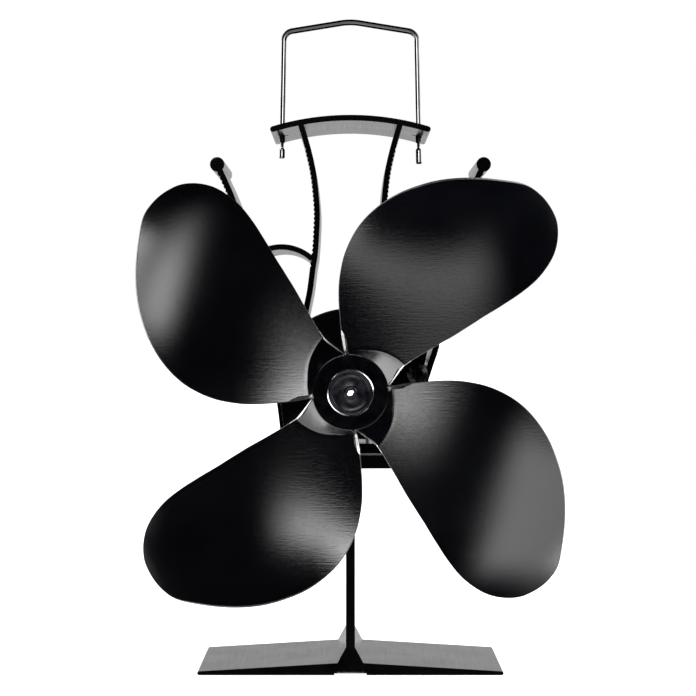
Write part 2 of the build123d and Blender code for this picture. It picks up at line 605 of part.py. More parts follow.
def lead(s):
    x = s * LEAD_X
    zc = PLATE_Z1 - 1.25
    yb = YB + 1.9
    pts = [(x, 18.2, zc), (x, yb, zc), (x, yb, AXIS_Z - 5.5), (s * 10.05, TAB_Y + 7.0, AXIS_Z - 0.2), (s * 10.05, M1 + 4.2, AXIS_Z)]
    p = FilletPolyline(*pts, radius=[2.0, 3.2, 3.2])
    prof = Plane(origin=p @ 0, z_dir=p % 0) * Circle(LEAD_R)
    return sweep(prof, path=p)


for s, nm in ((-1, "lead_black"), (1, "lead_red")):
    L = lead(s)
    keep(nm, L)

for name, shape in PARTS.items():
    export_step(shape, "parts/%s.step" % name)
print("nodes", len(PARTS))
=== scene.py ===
import json
import math

import bmesh
import bpy
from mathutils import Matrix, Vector


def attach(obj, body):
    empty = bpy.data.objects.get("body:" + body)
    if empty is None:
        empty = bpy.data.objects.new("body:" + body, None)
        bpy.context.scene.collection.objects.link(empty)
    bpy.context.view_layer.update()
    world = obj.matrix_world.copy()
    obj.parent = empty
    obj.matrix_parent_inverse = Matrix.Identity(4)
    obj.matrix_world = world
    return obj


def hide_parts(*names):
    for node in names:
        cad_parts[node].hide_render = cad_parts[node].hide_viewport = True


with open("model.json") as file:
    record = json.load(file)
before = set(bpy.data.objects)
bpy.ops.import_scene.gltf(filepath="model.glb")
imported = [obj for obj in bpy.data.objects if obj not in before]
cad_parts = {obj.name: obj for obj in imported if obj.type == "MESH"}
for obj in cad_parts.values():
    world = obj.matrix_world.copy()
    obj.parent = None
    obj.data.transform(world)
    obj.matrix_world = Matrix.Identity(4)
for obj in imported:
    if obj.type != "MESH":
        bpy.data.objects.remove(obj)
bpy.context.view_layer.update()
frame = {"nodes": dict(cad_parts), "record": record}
nodes = frame["nodes"]
MM = 0.001

# Layout numbers of the model, in millimetres: y is counted from the mid-depth
# plane of the extrusions, which stands Y_SHIFT behind the origin.
Y_SHIFT = 17.0
AXIS_Z = 93.5
DISC_Y = -57.5
DISC_R = 12.09
SHEET_T = 1.0


def P(x, y, z):
    """Millimetres in the layout to metres in the row frame."""
    return Vector((x * MM, (y + Y_SHIFT) * MM, z * MM))


# ------------------------------------------------------------------ camera
scene = bpy.context.scene
cam_data = bpy.data.cameras.new("photo_camera")
cam = bpy.data.objects.new("photo_camera", cam_data)
scene.collection.objects.link(cam)
cam_data.lens = 126.2
cam_data.sensor_width = 36.0
cam_data.clip_start = 0.05
cam_data.clip_end = 50.0
cam_data.dof.use_dof = False
cam.location = (-0.0008, -0.814, 0.113)
cam.rotation_euler = (math.radians(90.0 - 0.40), 0.0, 0.0)
scene.camera = cam

# ------------------------------------------------------- light and surroundings
scene.view_settings.view_transform = "Standard"
scene.view_settings.look = "None"
scene.view_settings.exposure = 0.0
scene.view_settings.gamma = 1.0

world = bpy.data.worlds.new("studio_world")
scene.world = world
world.use_nodes = True
wt = world.node_tree
wt.nodes.clear()


def w_math(op, *args):
    n = wt.nodes.new("ShaderNodeMath")
    n.operation = op
    for i, v in enumerate(args):
        if isinstance(v, (int, float)):
            n.inputs[i].default_value = v
        else:
            wt.links.new(v, n.inputs[i])
    return n.outputs[0]


def w_step(value, at, soft, rising=True):
    """0 to 1 across a soft edge at the given angle."""
    n = wt.nodes.new("ShaderNodeMapRange")
    n.interpolation_type = "SMOOTHSTEP"
    n.inputs["From Min"].default_value = at - 3 * soft
    n.inputs["From Max"].default_value = at + 3 * soft
    n.inputs["To Min"].default_value = 0.0 if rising else 1.0
    n.inputs["To Max"].default_value = 1.0 if rising else 0.0
    wt.links.new(value, n.inputs["Value"])
    return n.outputs["Result"]


w_co = wt.nodes.new("ShaderNodeTexCoord")
w_sep = wt.nodes.new("ShaderNodeSeparateXYZ")
wt.links.new(w_co.outputs["Generated"], w_sep.inputs[0])
AZ = w_math("ARCTAN2", w_sep.outputs["X"], w_math("MULTIPLY", w_sep.outputs["Y"], -1.0))   # 0 in front, + to the right
EL = w_math("ARCSINE", w_sep.outputs["Z"])
ABS_AZ = w_math("ABSOLUTE", AZ)


def soft_light(az0, s0, az1, s1, el0, se0, el1, se1, strength, az=None):
    """A soft-edged light patch between two azimuths and two elevations (radians)."""
    az = AZ if az is None else az
    v = w_math("MULTIPLY", w_step(az, az0, s0), w_step(az, az1, s1, False))
    v = w_math("MULTIPLY", v, w_math("MULTIPLY", w_step(EL, el0, se0), w_step(EL, el1, se1, False)))
    return w_math("MULTIPLY", v, strength)


LIGHTS = [
    soft_light(-0.42, 0.05, 0.06, 0.03, 0.285, 0.035, 0.475, 0.03, 5.0),         # key bar above the camera
    soft_light(-0.08, 0.04, 0.07, 0.02, 0.33, 0.03, 0.50, 0.03, 5.0),            # its brighter right end
    soft_light(0.02, 0.03, 0.17, 0.025, 0.41, 0.02, 0.53, 0.03, 5.5),            # and the corner above that
    soft_light(-0.15, 0.05, 0.92, 0.07, -0.46, 0.035, -0.26, 0.025, 1.35),       # light bounced up from the table
    soft_light(-0.17, 0.03, 0.02, 0.03, -0.54, 0.03, -0.38, 0.03, 5.0),          # its brighter left end
    soft_light(0.80, 0.04, 1.02, 0.09, 0.20, 0.05, 0.95, 0.14, 5.0),             # right, high
    soft_light(-1.60, 0.35, -0.63, 0.04, -1.25, 0.06, -0.16, 0.05, 2.1),         # left, low
    soft_light(1.18, 0.04, 2.70, 0.10, 0.16, 0.04, 0.92, 0.04, 4.6),             # right side, upper
    soft_light(1.80, 0.03, 2.70, 0.10, -0.46, 0.05, 0.16, 0.04, 2.8),            # right side, level
    soft_light(1.78, 0.03, 2.70, 0.10, -0.86, 0.05, -0.43, 0.03, 2.6),           # right side, lower
    soft_light(-2.70, 0.10, -1.64, 0.03, 0.60, 0.03, 0.80, 0.04, 4.6),           # left side, upper
    soft_light(-2.70, 0.10, -1.72, 0.03, -0.06, 0.03, 0.56, 0.03, 3.2),          # left side, level
    soft_light(-2.70, 0.10, -1.40, 0.04, -1.05, 0.05, -0.02, 0.04, 3.6),         # left side, lower
    soft_light(2.60, 0.08, 4.00, 0.08, -0.36, 0.06, 0.34, 0.05, 0.60, ABS_AZ),   # sweep behind
]
total = LIGHTS[0]
for extra in LIGHTS[1:]:
    total = w_math("ADD", total, extra)

w_out = wt.nodes.new("ShaderNodeOutputWorld")
w_mix = wt.nodes.new("ShaderNodeMixShader")
w_path = wt.nodes.new("ShaderNodeLightPath")
w_cam = wt.nodes.new("ShaderNodeBackground")
w_cam.inputs["Color"].default_value = (1.0, 1.0, 1.0, 1.0)
w_cam.inputs["Strength"].default_value = 1.0
w_env = wt.nodes.new("ShaderNodeBackground")
w_env.inputs["Color"].default_value = (1.0, 0.995, 0.99, 1.0)
wt.links.new(total, w_env.inputs["Strength"])
wt.links.new(w_path.outputs["Is Camera Ray"], w_mix.inputs["Fac"])
wt.links.new(w_env.outputs[0], w_mix.inputs[1])
wt.links.new(w_cam.outputs[0], w_mix.inputs[2])
wt.links.new(w_mix.outputs[0], w_out.inputs["Surface"])
world.cycles.sampling_method = "MANUAL"
world.cycles.sample_map_resolution = 1024


def area_light(name, loc, target, size_x, size_y, power, colour=(1, 1, 1)):
    d = bpy.data.lights.new(name, "AREA")
    d.shape = "RECTANGLE"
    d.size, d.size_y = size_x, size_y
    d.energy = power
    d.color = colour
    o = bpy.data.objects.new(name, d)
    scene.collection.objects.link(o)
    o.location = loc
    o.rotation_euler = (Vector(target) - Vector(loc)).to_track_quat("-Z", "Y").to_euler()
    o.visible_camera = False
    return o


# small lights for the bright metal: the shaft end from the front, the wire from the front and from below
SHAFT_FILL = area_light("shaft_fill", (0.0, -0.80, 0.08), (0, 0, 0.09), 0.5, 0.3, 2.0)
WIRE_FRONT = area_light("wire_front_fill", (0.0, -0.80, 0.285), (0, 0, 0.20), 0.40, 0.17, 1.3)
WIRE_LOW = area_light("wire_table_fill", (0.0, -0.40, -0.13), (0, 0, 0.20), 1.1, 0.34, 5.0)


# -------------------------------------------------------------- material tools
class Tree:
    """A small helper for writing node materials."""

    def __init__(self, name, colour=(0.5, 0.5, 0.5), metallic=0.0, rough=0.5, spec=0.5):
        self.mat = bpy.data.materials.new(name)
        self.mat.use_nodes = True
        self.t = self.mat.node_tree
        self.bsdf = self.t.nodes["Principled BSDF"]
        self.bsdf.inputs["Base Color"].default_value = (*colour, 1)
        self.bsdf.inputs["Metallic"].default_value = metallic
        self.bsdf.inputs["Roughness"].default_value = rough
        self.bsdf.inputs["Specular IOR Level"].default_value = spec
        self.co = self.t.nodes.new("ShaderNodeTexCoord")

    def add(self, kind, **values):
        n = self.t.nodes.new(kind)
        for k, v in values.items():
            if k in n.inputs:
                n.inputs[k].default_value = v
            else:
                setattr(n, k, v)
        return n

    def link(self, a, b):
        self.t.links.new(a, b)

    def noise(self, scale=(1, 1, 1), size=100.0, detail=3.0, rough=0.55, coord="Object", rot=(0, 0, 0)):
        m = self.add("ShaderNodeMapping")
        m.inputs["Scale"].default_value = scale
        m.inputs["Rotation"].default_value = rot
        self.link(self.co.outputs[coord], m.inputs["Vector"])
        n = self.add("ShaderNodeTexNoise", Scale=size, Detail=detail, Roughness=rough)
        self.link(m.outputs[0], n.inputs["Vector"])
        return n.outputs["Fac"]

    def remap(self, fac, lo, hi, a=0.3, b=0.7, smooth=True):
        n = self.add("ShaderNodeMapRange")
        n.inputs["From Min"].default_value = a
        n.inputs["From Max"].default_value = b
        n.inputs["To Min"].default_value = lo
        n.inputs["To Max"].default_value = hi
        if smooth:
            n.interpolation_type = "SMOOTHSTEP"
        self.link(fac, n.inputs["Value"])
        return n.outputs["Result"]

    def math(self, op, a, b=None, clamp=False):
        n = self.add("ShaderNodeMath", operation=op)
        n.use_clamp = clamp
        for i, v in enumerate((a, b)):
            if v is None:
                continue
            if isinstance(v, (int, float)):
                n.inputs[i].default_value = v
            else:
                self.link(v, n.inputs[i])
        return n.outputs[0]

    def mix(self, fac, a, b):
        n = self.add("ShaderNodeMix", data_type="RGBA")
        if isinstance(fac, (int, float)):
            n.inputs[0].default_value = fac
        else:
            self.link(fac, n.inputs[0])
        for sock, v in ((n.inputs[6], a), (n.inputs[7], b)):
            if isinstance(v, tuple):
                sock.default_value = (*v, 1) if len(v) == 3 else v
            else:
                self.link(v, sock)
        return n.outputs[2]

    def bump(self, height, strength=0.1, distance=0.0002, normal=None):
        n = self.add("ShaderNodeBump")
        n.inputs["Strength"].default_value = strength
        n.inputs["Distance"].default_value = distance
        self.link(height, n.inputs["Height"])
        if normal is not None:
            self.link(normal, n.inputs["Normal"])
        return n.outputs["Normal"]


def black_extrusion():
    """Satin black anodised extrusion: drawing lines along Y, faint clouding, a little handling sheen."""
    m = Tree("mat_black_extrusion", (0.004, 0.004, 0.005), 0.0, 0.30, 0.8)
    lines = m.noise(scale=(1.0, 0.012, 1.0), size=2600.0, detail=2.0)
    cloud = m.noise(size=55.0, detail=4.0)
    fine = m.noise(size=5200.0, detail=2.0)
    col = m.mix(m.remap(cloud, 0.0, 1.0), (0.003, 0.003, 0.0036), (0.0055, 0.0055, 0.0065))
    m.link(col, m.bsdf.inputs["Base Color"])
    r1 = m.remap(cloud, 0.16, 0.20)
    r2 = m.math("ADD", r1, m.remap(lines, -0.02, 0.03, smooth=False))
    m.link(r2, m.bsdf.inputs["Roughness"])
    n1 = m.bump(lines, 0.10, 0.00003)
    n2 = m.bump(fine, 0.08, 0.00002, n1)
    m.link(n2, m.bsdf.inputs["Normal"])
    return m.mat


def sawn_end():
    """Sawn and blackened ends of the extrusions: flat black with faint saw lines."""
    m = Tree("mat_sawn_end", (0.0012, 0.0012, 0.0014), 0.0, 0.2, 0.12)
    lines = m.noise(scale=(0.03, 1.0, 1.0), size=2400.0, detail=2.0)
    cloud = m.noise(size=120.0, detail=3.0)
    m.link(m.mix(m.remap(cloud, 0.0, 1.0), (0.0008, 0.0008, 0.001), (0.002, 0.002, 0.0022)), m.bsdf.inputs["Base Color"])
    m.link(m.remap(lines, 0.12, 0.20), m.bsdf.inputs["Roughness"])
    m.link(m.bump(lines, 0.06, 0.00002), m.bsdf.inputs["Normal"])
    return m.mat


def worn_edge():
    m = Tree("mat_worn_edge", (0.05, 0.05, 0.055), 0.6, 0.34, 0.5)
    n = m.noise(size=900.0, detail=4.0)
    col = m.mix(m.remap(n, 0.0, 1.0, 0.45, 0.62), (0.018, 0.018, 0.02), (0.11, 0.11, 0.115))
    m.link(col, m.bsdf.inputs["Base Color"])
    m.link(m.remap(n, 0.42, 0.28), m.bsdf.inputs["Roughness"])
    return m.mat


def blade_black():
    """Satin black sheet: fine horizontal grain that runs across all four blades, with soft clouding."""
    m = Tree("mat_blade_black", (0.0012, 0.0013, 0.0020), 0.0, 0.17, 0.9)
    grain = m.noise(scale=(0.10, 0.6, 1.0), size=4200.0, detail=3.0, rough=0.65)
    grain2 = m.noise(scale=(0.05, 0.4, 1.0), size=2000.0, detail=2.0, rough=0.5)
    cloud = m.noise(size=42.0, detail=4.0)
    col = m.mix(m.remap(cloud, 0.0, 1.0), (0.0009, 0.0010, 0.0016), (0.0018, 0.0019, 0.0028))
    m.link(col, m.bsdf.inputs["Base Color"])
    r = m.remap(cloud, 0.105, 0.13)
    r = m.math("ADD", r, m.remap(grain, -0.02, 0.03, smooth=False))
    m.link(r, m.bsdf.inputs["Roughness"])
    n1 = m.bump(grain, 0.34, 0.00006)
    n2 = m.bump(grain2, 0.20, 0.00008, n1)
    m.link(n2, m.bsdf.inputs["Normal"])
    m.bsdf.inputs["Anisotropic"].default_value = 0.4
    tan = m.add("ShaderNodeTangent", direction_type="UV_MAP")
    tan.uv_map = "sheet"
    m.link(tan.outputs[0], m.bsdf.inputs["Tangent"])
    return m.mat


def edge_painted_highlight():
    """Sheared edge of the sheet by the hub, in bright metal: painted highlight along the notch edges."""
    m = Tree("mat_edge_painted_highlight", (0.62, 0.62, 0.63), 1.0, 0.32, 0.5)
    g = m.noise(scale=(0.3, 3.0, 0.3), size=2500.0, detail=2.0)
    col = m.mix(m.remap(g, 0.0, 1.0), (0.42, 0.42, 0.43), (0.74, 0.74, 0.75))
    m.link(col, m.bsdf.inputs["Base Color"])
    m.link(m.remap(g, 0.42, 0.26), m.bsdf.inputs["Roughness"])
    m.link(m.bump(g, 0.25, 0.00005), m.bsdf.inputs["Normal"])
    return m.mat


def disc_painted_shade():
    """The flat of the sheet under the hub: a darker, less glossy copy of the blade finish, painted shade that keeps it
    deep black.
    """
    m = Tree("mat_disc_painted_shade", (0.001, 0.001, 0.0016), 0.0, 0.16, 0.32)
    rub = m.noise(size=300.0, detail=4.0)
    m.link(m.mix(m.remap(rub, 0.0, 1.0), (0.0006, 0.0006, 0.0010), (0.0016, 0.0017, 0.0025)), m.bsdf.inputs["Base Color"])
    m.link(m.remap(rub, 0.12, 0.20), m.bsdf.inputs["Roughness"])
    m.link(m.bump(m.noise(size=1800.0, detail=2.0), 0.05, 0.00003), m.bsdf.inputs["Normal"])
    return m.mat


def edge_painted_shade():
    """Sheared edge of the sheet away from the hub: a darkened copy of the bright edge, painted shade that dims its
    highlights.
    """
    m = Tree("mat_edge_painted_shade", (0.10, 0.10, 0.105), 0.8, 0.34, 0.5)
    g = m.noise(scale=(0.3, 3.0, 0.3), size=2500.0, detail=2.0)
    m.link(m.mix(m.remap(g, 0.0, 1.0), (0.05, 0.05, 0.053), (0.16, 0.16, 0.165)), m.bsdf.inputs["Base Color"])
    m.link(m.remap(g, 0.42, 0.28), m.bsdf.inputs["Roughness"])
    m.link(m.bump(g, 0.2, 0.00004), m.bsdf.inputs["Normal"])
    return m.mat


def hub_black():
    """Turned, black: fine rings about the motor axis."""
    m = Tree("mat_hub_black", (0.004, 0.004, 0.006), 0.0, 0.22, 0.45)
    sep = m.add("ShaderNodeSeparateXYZ")
    m.link(m.co.outputs["Object"], sep.inputs[0])
    dz = m.math("SUBTRACT", sep.outputs["Z"], AXIS_Z * MM)
    r = m.math("SQRT", m.math("ADD", m.math("MULTIPLY", sep.outputs["X"], sep.outputs["X"]), m.math("MULTIPLY", dz, dz)))
    rings = m.math("SINE", m.math("MULTIPLY", r, 2 * math.pi / 0.00016))
    blot = m.noise(size=420.0, detail=3.0)
    m.link(m.remap(blot, 0.16, 0.28), m.bsdf.inputs["Roughness"])
    col = m.mix(m.remap(blot, 0.0, 1.0), (0.002, 0.002, 0.003), (0.009, 0.008, 0.013))
    m.link(col, m.bsdf.inputs["Base Color"])
    m.link(m.bump(rings, 0.10, 0.00002), m.bsdf.inputs["Normal"])
    return m.mat


def bright_turned(name="mat_bright_turned", colour=(0.74, 0.74, 0.76)):
    m = Tree(name, colour, 1.0, 0.2, 0.5)
    n = m.noise(scale=(1, 0.2, 1), size=3000.0, detail=2.0)
    m.link(m.remap(n, 0.14, 0.26), m.bsdf.inputs["Roughness"])
    m.link(m.bump(n, 0.08, 0.00002), m.bsdf.inputs["Normal"])
    return m.mat


def chrome_wire():
    """Bright drawn wire: fine lines along it and faint smears. Painted shade darkens the crossbar and the upward-facing
    side of the wire.
    """
    m = Tree("mat_chrome_wire", (0.30, 0.30, 0.305), 1.0, 0.07, 0.5)
    smear = m.noise(size=160.0, detail=4.0)
    lines = m.noise(scale=(1.0, 1.0, 0.02), size=3200.0, detail=1.0)
    bright = m.mix(m.remap(smear, 0.0, 1.0), (0.26, 0.26, 0.265), (0.34, 0.34, 0.345))
    at = m.add("ShaderNodeSeparateXYZ")
    m.link(m.add("ShaderNodeTexCoord").outputs["Object"], at.inputs[0])
    bar = m.remap(at.outputs["Z"], 0.0, 1.0, 0.2112, 0.2142)     # painted shade: the crossbar gets a darker base colour
    bright = m.mix(bar, bright, (0.040, 0.040, 0.041))
    up = m.add("ShaderNodeSeparateXYZ")
    m.link(m.add("ShaderNodeNewGeometry").outputs["Normal"], up.inputs[0])
    painted_top_shade = m.remap(up.outputs["Z"], 0.0, 1.0, -0.05, 0.30)     # painted shade: the upward-facing side of the wire, the crossbar top, darkened
    m.link(m.mix(painted_top_shade, bright, (0.010, 0.010, 0.012)), m.bsdf.inputs["Base Color"])
    m.link(m.remap(smear, 0.05, 0.09), m.bsdf.inputs["Roughness"])
    m.link(m.bump(lines, 0.02, 0.00001), m.bsdf.inputs["Normal"])
    return m.mat


def wire_painted_shade():
    """The wire just under the arch: a darkened, mottled copy of the wire, painted shade and painted reflection of the
    black arch and fins around it.
    """
    m = Tree("mat_wire_painted_shade", (0.02, 0.02, 0.022), 0.85, 0.16, 0.5)
    n = m.noise(scale=(1, 1, 0.3), size=700.0, detail=4.0)
    m.link(m.mix(m.remap(n, 0.0, 1.0, 0.42, 0.66), (0.010, 0.010, 0.012), (0.09, 0.09, 0.095)), m.bsdf.inputs["Base Color"])
    m.link(m.remap(n, 0.14, 0.30), m.bsdf.inputs["Roughness"])
    m.link(m.bump(n, 0.1, 0.00003), m.bsdf.inputs["Normal"])
    return m.mat


def black_sheet():
    """Semi-gloss black coating on sheet steel: fine orange peel."""
    m = Tree("mat_black_coating", (0.0015, 0.0015, 0.0018), 0.0, 0.14, 0.30)
    peel = m.noise(size=1500.0, detail=2.0)
    cloud = m.noise(size=80.0, detail=3.0)
    m.link(m.remap(cloud, 0.12, 0.16), m.bsdf.inputs["Roughness"])
    m.link(m.mix(m.remap(cloud, 0.0, 1.0), (0.001, 0.001, 0.0012), (0.002, 0.002, 0.0023)), m.bsdf.inputs["Base Color"])
    m.link(m.bump(peel, 0.06, 0.00004), m.bsdf.inputs["Normal"])
    return m.mat


def metal(name, a, b, r0, r1, size=1200.0, scale=(1, 1, 1), bump=0.1, metallic=1.0):
    m = Tree(name, a, metallic, r0, 0.5)
    n = m.noise(scale=scale, size=size, detail=4.0)
    m.link(m.mix(m.remap(n, 0.0, 1.0), a, b), m.bsdf.inputs["Base Color"])
    m.link(m.remap(n, r0, r1), m.bsdf.inputs["Roughness"])
    m.link(m.bump(n, bump, 0.00004), m.bsdf.inputs["Normal"])
    return m.mat


def plain(name, a, b, r0, r1, size=900.0, bump=0.15, scale=(1, 1, 1)):
    return metal(name, a, b, r0, r1, size, scale, bump, 0.0)


MAT = {
    "black_anodised": black_extrusion(),
    "black_blade": blade_black(),
    "hub_black": hub_black(),
    "black_paint": black_sheet(),
    "chrome_wire": chrome_wire(),
    "bimetal": metal("mat_bimetal", (0.42, 0.38, 0.32), (0.58, 0.55, 0.5), 0.25, 0.45, 1500.0, (1, 0.03, 1)),
    "rivet_alu": metal("mat_rivet", (0.6, 0.6, 0.6), (0.75, 0.75, 0.75), 0.25, 0.4),
    "graphite": plain("mat_graphite", (0.03, 0.03, 0.032), (0.09, 0.09, 0.095), 0.4, 0.6),
    "ceramic": plain("mat_ceramic", (0.78, 0.78, 0.75), (0.88, 0.88, 0.86), 0.4, 0.6),
    "module_alloy": metal("mat_module_alloy", (0.2, 0.2, 0.22), (0.35, 0.35, 0.37), 0.35, 0.5),
    "gasket_board": plain("mat_gasket_board", (0.62, 0.61, 0.58), (0.85, 0.84, 0.80), 0.7, 0.95, 2600.0, 0.5),
    "black_steel": metal("mat_black_steel", (0.004, 0.004, 0.0045), (0.012, 0.012, 0.013), 0.16, 0.26, 1100.0, (1, 1, 1), 0.12, 0.75),
    "insulating_bush": plain("mat_bush", (0.62, 0.56, 0.42), (0.75, 0.70, 0.58), 0.45, 0.6),
    "spring_steel": metal("mat_spring_steel", (0.28, 0.28, 0.30), (0.45, 0.45, 0.47), 0.22, 0.38),
    "zinc_can": metal("mat_zinc_can", (0.42, 0.43, 0.45), (0.62, 0.63, 0.66), 0.24, 0.42, 700.0, (0.3, 1, 0.3)),
    "bronze": metal("mat_bronze", (0.40, 0.24, 0.10), (0.58, 0.40, 0.20), 0.35, 0.55, 2400.0),
    "ferrite": plain("mat_ferrite", (0.05, 0.05, 0.052), (0.11, 0.11, 0.115), 0.55, 0.8),
    "cap_plastic": plain("mat_cap_plastic", (0.018, 0.018, 0.02), (0.03, 0.03, 0.033), 0.4, 0.55, 1800.0, 0.2),
    "contact_brass": metal("mat_contact_brass", (0.55, 0.42, 0.2), (0.78, 0.68, 0.42), 0.22, 0.4),
    "lead_black_sleeve": plain("mat_lead_black", (0.010, 0.010, 0.011), (0.022, 0.022, 0.024), 0.38, 0.55, 700.0),
    "lead_red_sleeve": plain("mat_lead_red", (0.36, 0.012, 0.012), (0.5, 0.03, 0.028), 0.38, 0.55, 700.0),
    "bright_shaft": bright_turned("mat_bright_shaft", (0.80, 0.80, 0.82)),
    "lamination_steel": metal("mat_laminations", (0.25, 0.25, 0.26), (0.45, 0.45, 0.46), 0.3, 0.5, 1400.0, (0.2, 8.0, 0.2)),
    "enamelled_copper": metal("mat_enamelled_copper", (0.42, 0.14, 0.05), (0.62, 0.26, 0.11), 0.2, 0.35, 1800.0, (4, 0.3, 0.3), 0.4),
    "commutator_copper": metal("mat_commutator", (0.58, 0.26, 0.14), (0.76, 0.42, 0.26), 0.2, 0.38, 1800.0, (0.3, 1, 0.3)),
    "white_nylon": plain("mat_nylon", (0.72, 0.72, 0.68), (0.82, 0.82, 0.8), 0.4, 0.6),
}
EDGE = worn_edge()
END = sawn_end()
HUB_EDGE_PAINTED_HIGHLIGHT = edge_painted_highlight()
OUTER_EDGE_PAINTED_SHADE = edge_painted_shade()
DISC = disc_painted_shade()
BRIGHT = bright_turned()
CHAMFER = bright_turned("mat_bright_chamfer", (0.80, 0.80, 0.82))

slots = {s["node"]: s["material_slot"] for s in frame["record"]["subparts"]}
for name, ob in nodes.items():
    ob.data.materials.clear()
    ob.data.materials.append(MAT[slots[name]])


# ------------------------------------------------- finish of the carried-over CAD
def round_edges(name, width_mm, angle=35, segments=2, edge_mat=None, smooth=True):
    ob = nodes[name]
    if smooth:
        for p in ob.data.polygons:
            p.use_smooth = True
    if edge_mat is not None and len(ob.data.materials) < 2:
        ob.data.materials.append(edge_mat)
    w = ob.modifiers.new("join", "WELD")
    w.merge_threshold = 2e-6
    if edge_mat is not None:
        b = ob.modifiers.new("edge", "BEVEL")
        b.width = width_mm * MM
        b.segments = 2
        b.limit_method = "ANGLE"
        b.angle_limit = math.radians(angle)
        b.use_clamp_overlap = False
        b.material = 1
        sp = ob.modifiers.new("corners", "EDGE_SPLIT")
        sp.split_angle = math.radians(40)
        wn = ob.modifiers.new("flats", "WEIGHTED_NORMAL")
        wn.mode = "FACE_AREA"
        wn.weight = 100
        return
    b = ob.modifiers.new("edge", "BEVEL")
    b.width = width_mm * MM
    b.segments = segments
    b.limit_method = "ANGLE"
    b.angle_limit = math.radians(angle)
    b.harden_normals = smooth
    b.use_clamp_overlap = True


for n in ("base", "heat_sink"):
    me = nodes[n].data
    me.materials.append(EDGE)
    me.materials.append(END)
    for p in me.polygons:
        if abs(p.normal.y) > 0.995:
            p.material_index = 2

for n, wmm in (("base", 0.06), ("heat_sink", 0.05), ("motor_bracket", 0.06), ("bracket_screws", 0.12),
               ("motor_screws", 0.1), ("motor_can", 0.25), ("motor_end_cap", 0.2), ("clamp_screws", 0.15)):
    round_edges(n, wmm, edge_mat=EDGE if n in ("base", "heat_sink", "motor_bracket") else None)


def mesh_object(name, verts, faces, body, mats, smooth=True):
    me = bpy.data.meshes.new(name)
    me.from_pydata([tuple(v) for v in verts], [], faces)
    me.validate()
    me.update()
    for p in me.polygons:
        p.use_smooth = smooth
    ob = bpy.data.objects.new(name, me)
    scene.collection.objects.link(ob)
    for m in mats:
        me.materials.append(m)
    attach(ob, body)
    return ob


# ---------------------------------------------------------------- propeller
# One blade, in polar form about the axis: radius, clockwise edge angle, anticlockwise edge angle
OUTLINE = [
    (19.42, 26.1, 98.61), (22.51, 27.19, 98.17), (25.8, 27.67, 97.73), (28.99, 27.96, 97.28),
    (32.28, 28.15, 96.64), (35.56, 28.25, 95.78), (38.75, 28.39, 94.59), (42.04, 28.73, 93.34),
    (45.22, 28.92, 91.74), (48.51, 29.21, 89.85), (51.8, 29.31, 87.76), (55.09, 29.38, 85.28),
    (58.27, 29.54, 82.5), (61.46, 29.66, 79.48), (64.75, 29.95, 76.03), (67.93, 30.29, 72.29),
    (71.33, 30.87, 68.37), (74.51, 31.69, 64.45), (77.79, 32.74, 60.38), (80.99, 34.1, 56.45),
    (84.17, 36.15, 52.82), (86.47, 38.27, 50.37), (87.85, 40.38, 48.2),
]
TIP_R, TIP_A = 88.6, 44.3
BLADE_AXIS = 52.0
ROOT_DEPTH = 5.5


def crease_r(t):
    k = [(0, 19.4), (26.1, 19.4), (41, 17.45), (55, 15.95), (62, 15.2), (72, 14.15), (90, 13.2), (98, 13.15), (125, 13.15)]
    for (a, ra), (b, rb) in zip(k, k[1:]):
        if t <= b:
            return ra + (rb - ra) * max(0.0, (t - a) / (b - a))
    return k[-1][1]


def depth_at(x, z):
    """Distance of the blade surface behind the hub disc's face, at a plan point of the first blade."""
    a = math.radians(BLADE_AXIS)
    u, v = x * math.cos(a) + z * math.sin(a), -x * math.sin(a) + z * math.cos(a)
    q, s = (u - 12.0) / 76.0, v / 30.0
    slope = 0.2407 + q * (-0.1077 + q * (0.6503 + q * 0.1869))
    crown = 2.2443 + q * (-1.9993 + q * 1.2667)
    sweep = 76.0 * q * (-0.0684 + q * (0.11435 + q * (-0.00613 - q * 0.027975)))
    return ROOT_DEPTH - slope * v - crown * (1 - s * s) + 0.0799 * s ** 3 - sweep


def plan_point(r, t):
    return r * math.cos(math.radians(t)), r * math.sin(math.radians(t))


def smooth_curve(pts, per=16):
    """Catmull-Rom through pts."""
    c = [pts[0]] + list(pts) + [pts[-1]]
    dense = []
    for i in range(1, len(c) - 2):
        p0, p1, p2, p3 = c[i - 1], c[i], c[i + 1], c[i + 2]
        for k in range(per):
            t = k / per
            dense.append(tuple(
                0.5 * ((2 * p1[a]) + (-p0[a] + p2[a]) * t + (2 * p0[a] - 5 * p1[a] + 4 * p2[a] - p3[a]) * t * t
                       + (-p0[a] + 3 * p1[a] - 3 * p2[a] + p3[a]) * t ** 3) for a in range(2)))
    dense.append(tuple(pts[-1]))
    return dense


def relax(pts, times=3):
    """Evens out small kinks along an open curve, ends kept."""
    for _ in range(times):
        pts = [pts[0]] + [tuple(0.25 * a[k] + 0.5 * b[k] + 0.25 * c[k] for k in range(2))
                          for a, b, c in zip(pts, pts[1:], pts[2:])] + [pts[-1]]
    return pts


def lengths(pts):
    run = [0.0]
    for a, b in zip(pts, pts[1:]):
        run.append(run[-1] + math.hypot(b[0] - a[0], b[1] - a[1]))
    return run


def sample(pts, run, d):
    """Point at running length d."""
    d = min(max(d, 0.0), run[-1])
    lo, hi = 0, len(run) - 1
    while hi - lo > 1:
        mid = (lo + hi) // 2
        if run[mid] <= d:
            lo = mid
        else:
            hi = mid
    s = (d - run[lo]) / max(run[hi] - run[lo], 1e-9)
    return (pts[lo][0] + (pts[hi][0] - pts[lo][0]) * s, pts[lo][1] + (pts[hi][1] - pts[lo][1]) * s)


def lerp(a, b, s):
    return tuple(x + (y - x) * s for x, y in zip(a, b))


